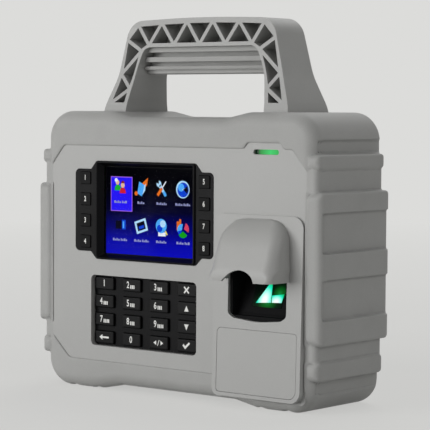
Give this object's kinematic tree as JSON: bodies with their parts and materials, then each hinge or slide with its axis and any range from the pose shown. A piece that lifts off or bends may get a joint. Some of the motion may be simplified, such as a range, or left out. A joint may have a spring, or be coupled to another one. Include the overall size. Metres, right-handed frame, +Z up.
{
  "type": "fingerprint scanner terminal",
  "caption": "Portable rugged fingerprint terminal: rubber-sleeved case, truss carry handle, colour screen, keypad, hooded finger sensor, card reader area and a flap over the rear ports.",
  "frame": {"origin": "on the resting plane, midway across the width and midway from the hood's lip to the sleeve's rear", "axes": "+Z up, the front with screen, keypad and sensor faces -Y, +X to the right of someone facing the front"},
  "size_m": [0.22, 0.087, 0.2259],
  "materials": {
    "sleeve_rubber": "fine matt grain, light warm grey",
    "case_plastic": "fine spark-eroded grain, light warm grey",
    "handle_plastic": "fine spark-eroded grain, light warm grey",
    "grip_rubber": "matt, a shade darker than the case",
    "black_plastic": "satin black moulding",
    "key_plastic": "satin black caps with white marks",
    "function_key_rubber": "matt black caps with white marks",
    "screen_glass": "polished, over a lit colour display",
    "sensor_glass": "polished glass, lit green from behind",
    "lamp_green": "clear light bar, lit green",
    "steel": "zinc-plated",
    "circuit_board": "green solder mask",
    "chip_black": "moulded epoxy",
    "silicone": "soft silicone",
    "battery_wrap": "shrink wrap"
  },
  "bodies": {
    "terminal": {"battery_door": "case_plastic", "battery_door_screws": "steel", "battery_pack": "battery_wrap", "board_screws": "steel", "card_antenna": "circuit_board", "card_cover": "case_plastic", "case_screws": "steel", "case_seal": "silicone", "dc_jack": "black_plastic", "display_bezel": "black_plastic", "display_glass": "screen_glass", "front_board": "circuit_board", "front_shell": "case_plastic", "function_key_switches": "chip_black", "handle_arch": "handle_plastic", "handle_grip": "grip_rubber", "handle_screws": "steel", "indicator_board": "circuit_board", "key_mat": "silicone", "keypad_plate": "black_plastic", "lcd_module": "steel", "light_pipe": "lamp_green", "main_board": "circuit_board", "main_board_parts": "chip_black", "rear_shell": "case_plastic", "rj45_jack": "black_plastic", "rubber_armour": "sleeve_rubber", "sensor_board": "circuit_board", "sensor_module": "black_plastic", "sensor_panel": "case_plastic", "sensor_prism": "sensor_glass", "sensor_well": "black_plastic", "speaker": "chip_black", "usb_jack": "steel"},
    "key_0": {"key_0": "key_plastic"},
    "key_1": {"key_1": "key_plastic"},
    "key_2": {"key_2": "key_plastic"},
    "key_3": {"key_3": "key_plastic"},
    "key_4": {"key_4": "key_plastic"},
    "key_5": {"key_5": "key_plastic"},
    "key_6": {"key_6": "key_plastic"},
    "key_7": {"key_7": "key_plastic"},
    "key_8": {"key_8": "key_plastic"},
    "key_9": {"key_9": "key_plastic"},
    "key_cancel": {"key_cancel": "key_plastic"},
    "key_down": {"key_down": "key_plastic"},
    "key_enter": {"key_enter": "key_plastic"},
    "key_erase": {"key_erase": "key_plastic"},
    "key_shift": {"key_shift": "key_plastic"},
    "key_up": {"key_up": "key_plastic"},
    "function_key_1": {"function_key_1": "function_key_rubber"},
    "function_key_2": {"function_key_2": "function_key_rubber"},
    "function_key_3": {"function_key_3": "function_key_rubber"},
    "function_key_4": {"function_key_4": "function_key_rubber"},
    "function_key_5": {"function_key_5": "function_key_rubber"},
    "function_key_6": {"function_key_6": "function_key_rubber"},
    "function_key_7": {"function_key_7": "function_key_rubber"},
    "function_key_8": {"function_key_8": "function_key_rubber"},
    "port_flap": {"port_flap": "case_plastic"}
  },
  "joints": [
    {"name": "key_0_press", "type": "slide", "parent": "terminal", "child": "key_0", "axis": [0, 1, 0], "range_m": [0, 0.0008], "stiffness_N_per_m": 220, "springref_m": -0.001},
    {"name": "key_1_press", "type": "slide", "parent": "terminal", "child": "key_1", "axis": [0, 1, 0], "range_m": [0, 0.0008], "stiffness_N_per_m": 220, "springref_m": -0.001},
    {"name": "key_2_press", "type": "slide", "parent": "terminal", "child": "key_2", "axis": [0, 1, 0], "range_m": [0, 0.0008], "stiffness_N_per_m": 220, "springref_m": -0.001},
    {"name": "key_3_press", "type": "slide", "parent": "terminal", "child": "key_3", "axis": [0, 1, 0], "range_m": [0, 0.0008], "stiffness_N_per_m": 220, "springref_m": -0.001},
    {"name": "key_4_press", "type": "slide", "parent": "terminal", "child": "key_4", "axis": [0, 1, 0], "range_m": [0, 0.0008], "stiffness_N_per_m": 220, "springref_m": -0.001},
    {"name": "key_5_press", "type": "slide", "parent": "terminal", "child": "key_5", "axis": [0, 1, 0], "range_m": [0, 0.0008], "stiffness_N_per_m": 220, "springref_m": -0.001},
    {"name": "key_6_press", "type": "slide", "parent": "terminal", "child": "key_6", "axis": [0, 1, 0], "range_m": [0, 0.0008], "stiffness_N_per_m": 220, "springref_m": -0.001},
    {"name": "key_7_press", "type": "slide", "parent": "terminal", "child": "key_7", "axis": [0, 1, 0], "range_m": [0, 0.0008], "stiffness_N_per_m": 220, "springref_m": -0.001},
    {"name": "key_8_press", "type": "slide", "parent": "terminal", "child": "key_8", "axis": [0, 1, 0], "range_m": [0, 0.0008], "stiffness_N_per_m": 220, "springref_m": -0.001},
    {"name": "key_9_press", "type": "slide", "parent": "terminal", "child": "key_9", "axis": [0, 1, 0], "range_m": [0, 0.0008], "stiffness_N_per_m": 220, "springref_m": -0.001},
    {"name": "key_cancel_press", "type": "slide", "parent": "terminal", "child": "key_cancel", "axis": [0, 1, 0], "range_m": [0, 0.0008], "stiffness_N_per_m": 220, "springref_m": -0.001},
    {"name": "key_down_press", "type": "slide", "parent": "terminal", "child": "key_down", "axis": [0, 1, 0], "range_m": [0, 0.0008], "stiffness_N_per_m": 220, "springref_m": -0.001},
    {"name": "key_enter_press", "type": "slide", "parent": "terminal", "child": "key_enter", "axis": [0, 1, 0], "range_m": [0, 0.0008], "stiffness_N_per_m": 220, "springref_m": -0.001},
    {"name": "key_erase_press", "type": "slide", "parent": "terminal", "child": "key_erase", "axis": [0, 1, 0], "range_m": [0, 0.0008], "stiffness_N_per_m": 220, "springref_m": -0.001},
    {"name": "key_shift_press", "type": "slide", "parent": "terminal", "child": "key_shift", "axis": [0, 1, 0], "range_m": [0, 0.0008], "stiffness_N_per_m": 220, "springref_m": -0.001},
    {"name": "key_up_press", "type": "slide", "parent": "terminal", "child": "key_up", "axis": [0, 1, 0], "range_m": [0, 0.0008], "stiffness_N_per_m": 220, "springref_m": -0.001},
    {"name": "function_key_1_press", "type": "slide", "parent": "terminal", "child": "function_key_1", "axis": [0, 1, 0], "range_m": [0, 0.0005], "stiffness_N_per_m": 220, "springref_m": -0.001},
    {"name": "function_key_2_press", "type": "slide", "parent": "terminal", "child": "function_key_2", "axis": [0, 1, 0], "range_m": [0, 0.0005], "stiffness_N_per_m": 220, "springref_m": -0.001},
    {"name": "function_key_3_press", "type": "slide", "parent": "terminal", "child": "function_key_3", "axis": [0, 1, 0], "range_m": [0, 0.0005], "stiffness_N_per_m": 220, "springref_m": -0.001},
    {"name": "function_key_4_press", "type": "slide", "parent": "terminal", "child": "function_key_4", "axis": [0, 1, 0], "range_m": [0, 0.0005], "stiffness_N_per_m": 220, "springref_m": -0.001},
    {"name": "function_key_5_press", "type": "slide", "parent": "terminal", "child": "function_key_5", "axis": [0, 1, 0], "range_m": [0, 0.0005], "stiffness_N_per_m": 220, "springref_m": -0.001},
    {"name": "function_key_6_press", "type": "slide", "parent": "terminal", "child": "function_key_6", "axis": [0, 1, 0], "range_m": [0, 0.0005], "stiffness_N_per_m": 220, "springref_m": -0.001},
    {"name": "function_key_7_press", "type": "slide", "parent": "terminal", "child": "function_key_7", "axis": [0, 1, 0], "range_m": [0, 0.0005], "stiffness_N_per_m": 220, "springref_m": -0.001},
    {"name": "function_key_8_press", "type": "slide", "parent": "terminal", "child": "function_key_8", "axis": [0, 1, 0], "range_m": [0, 0.0005], "stiffness_N_per_m": 220, "springref_m": -0.001},
    {"name": "port_flap_hinge", "type": "hinge", "parent": "terminal", "child": "port_flap", "pos_m": [0, 0.0403, 0.046], "axis": [1, 0, 0], "range_deg": [0, 90]}
  ]
}
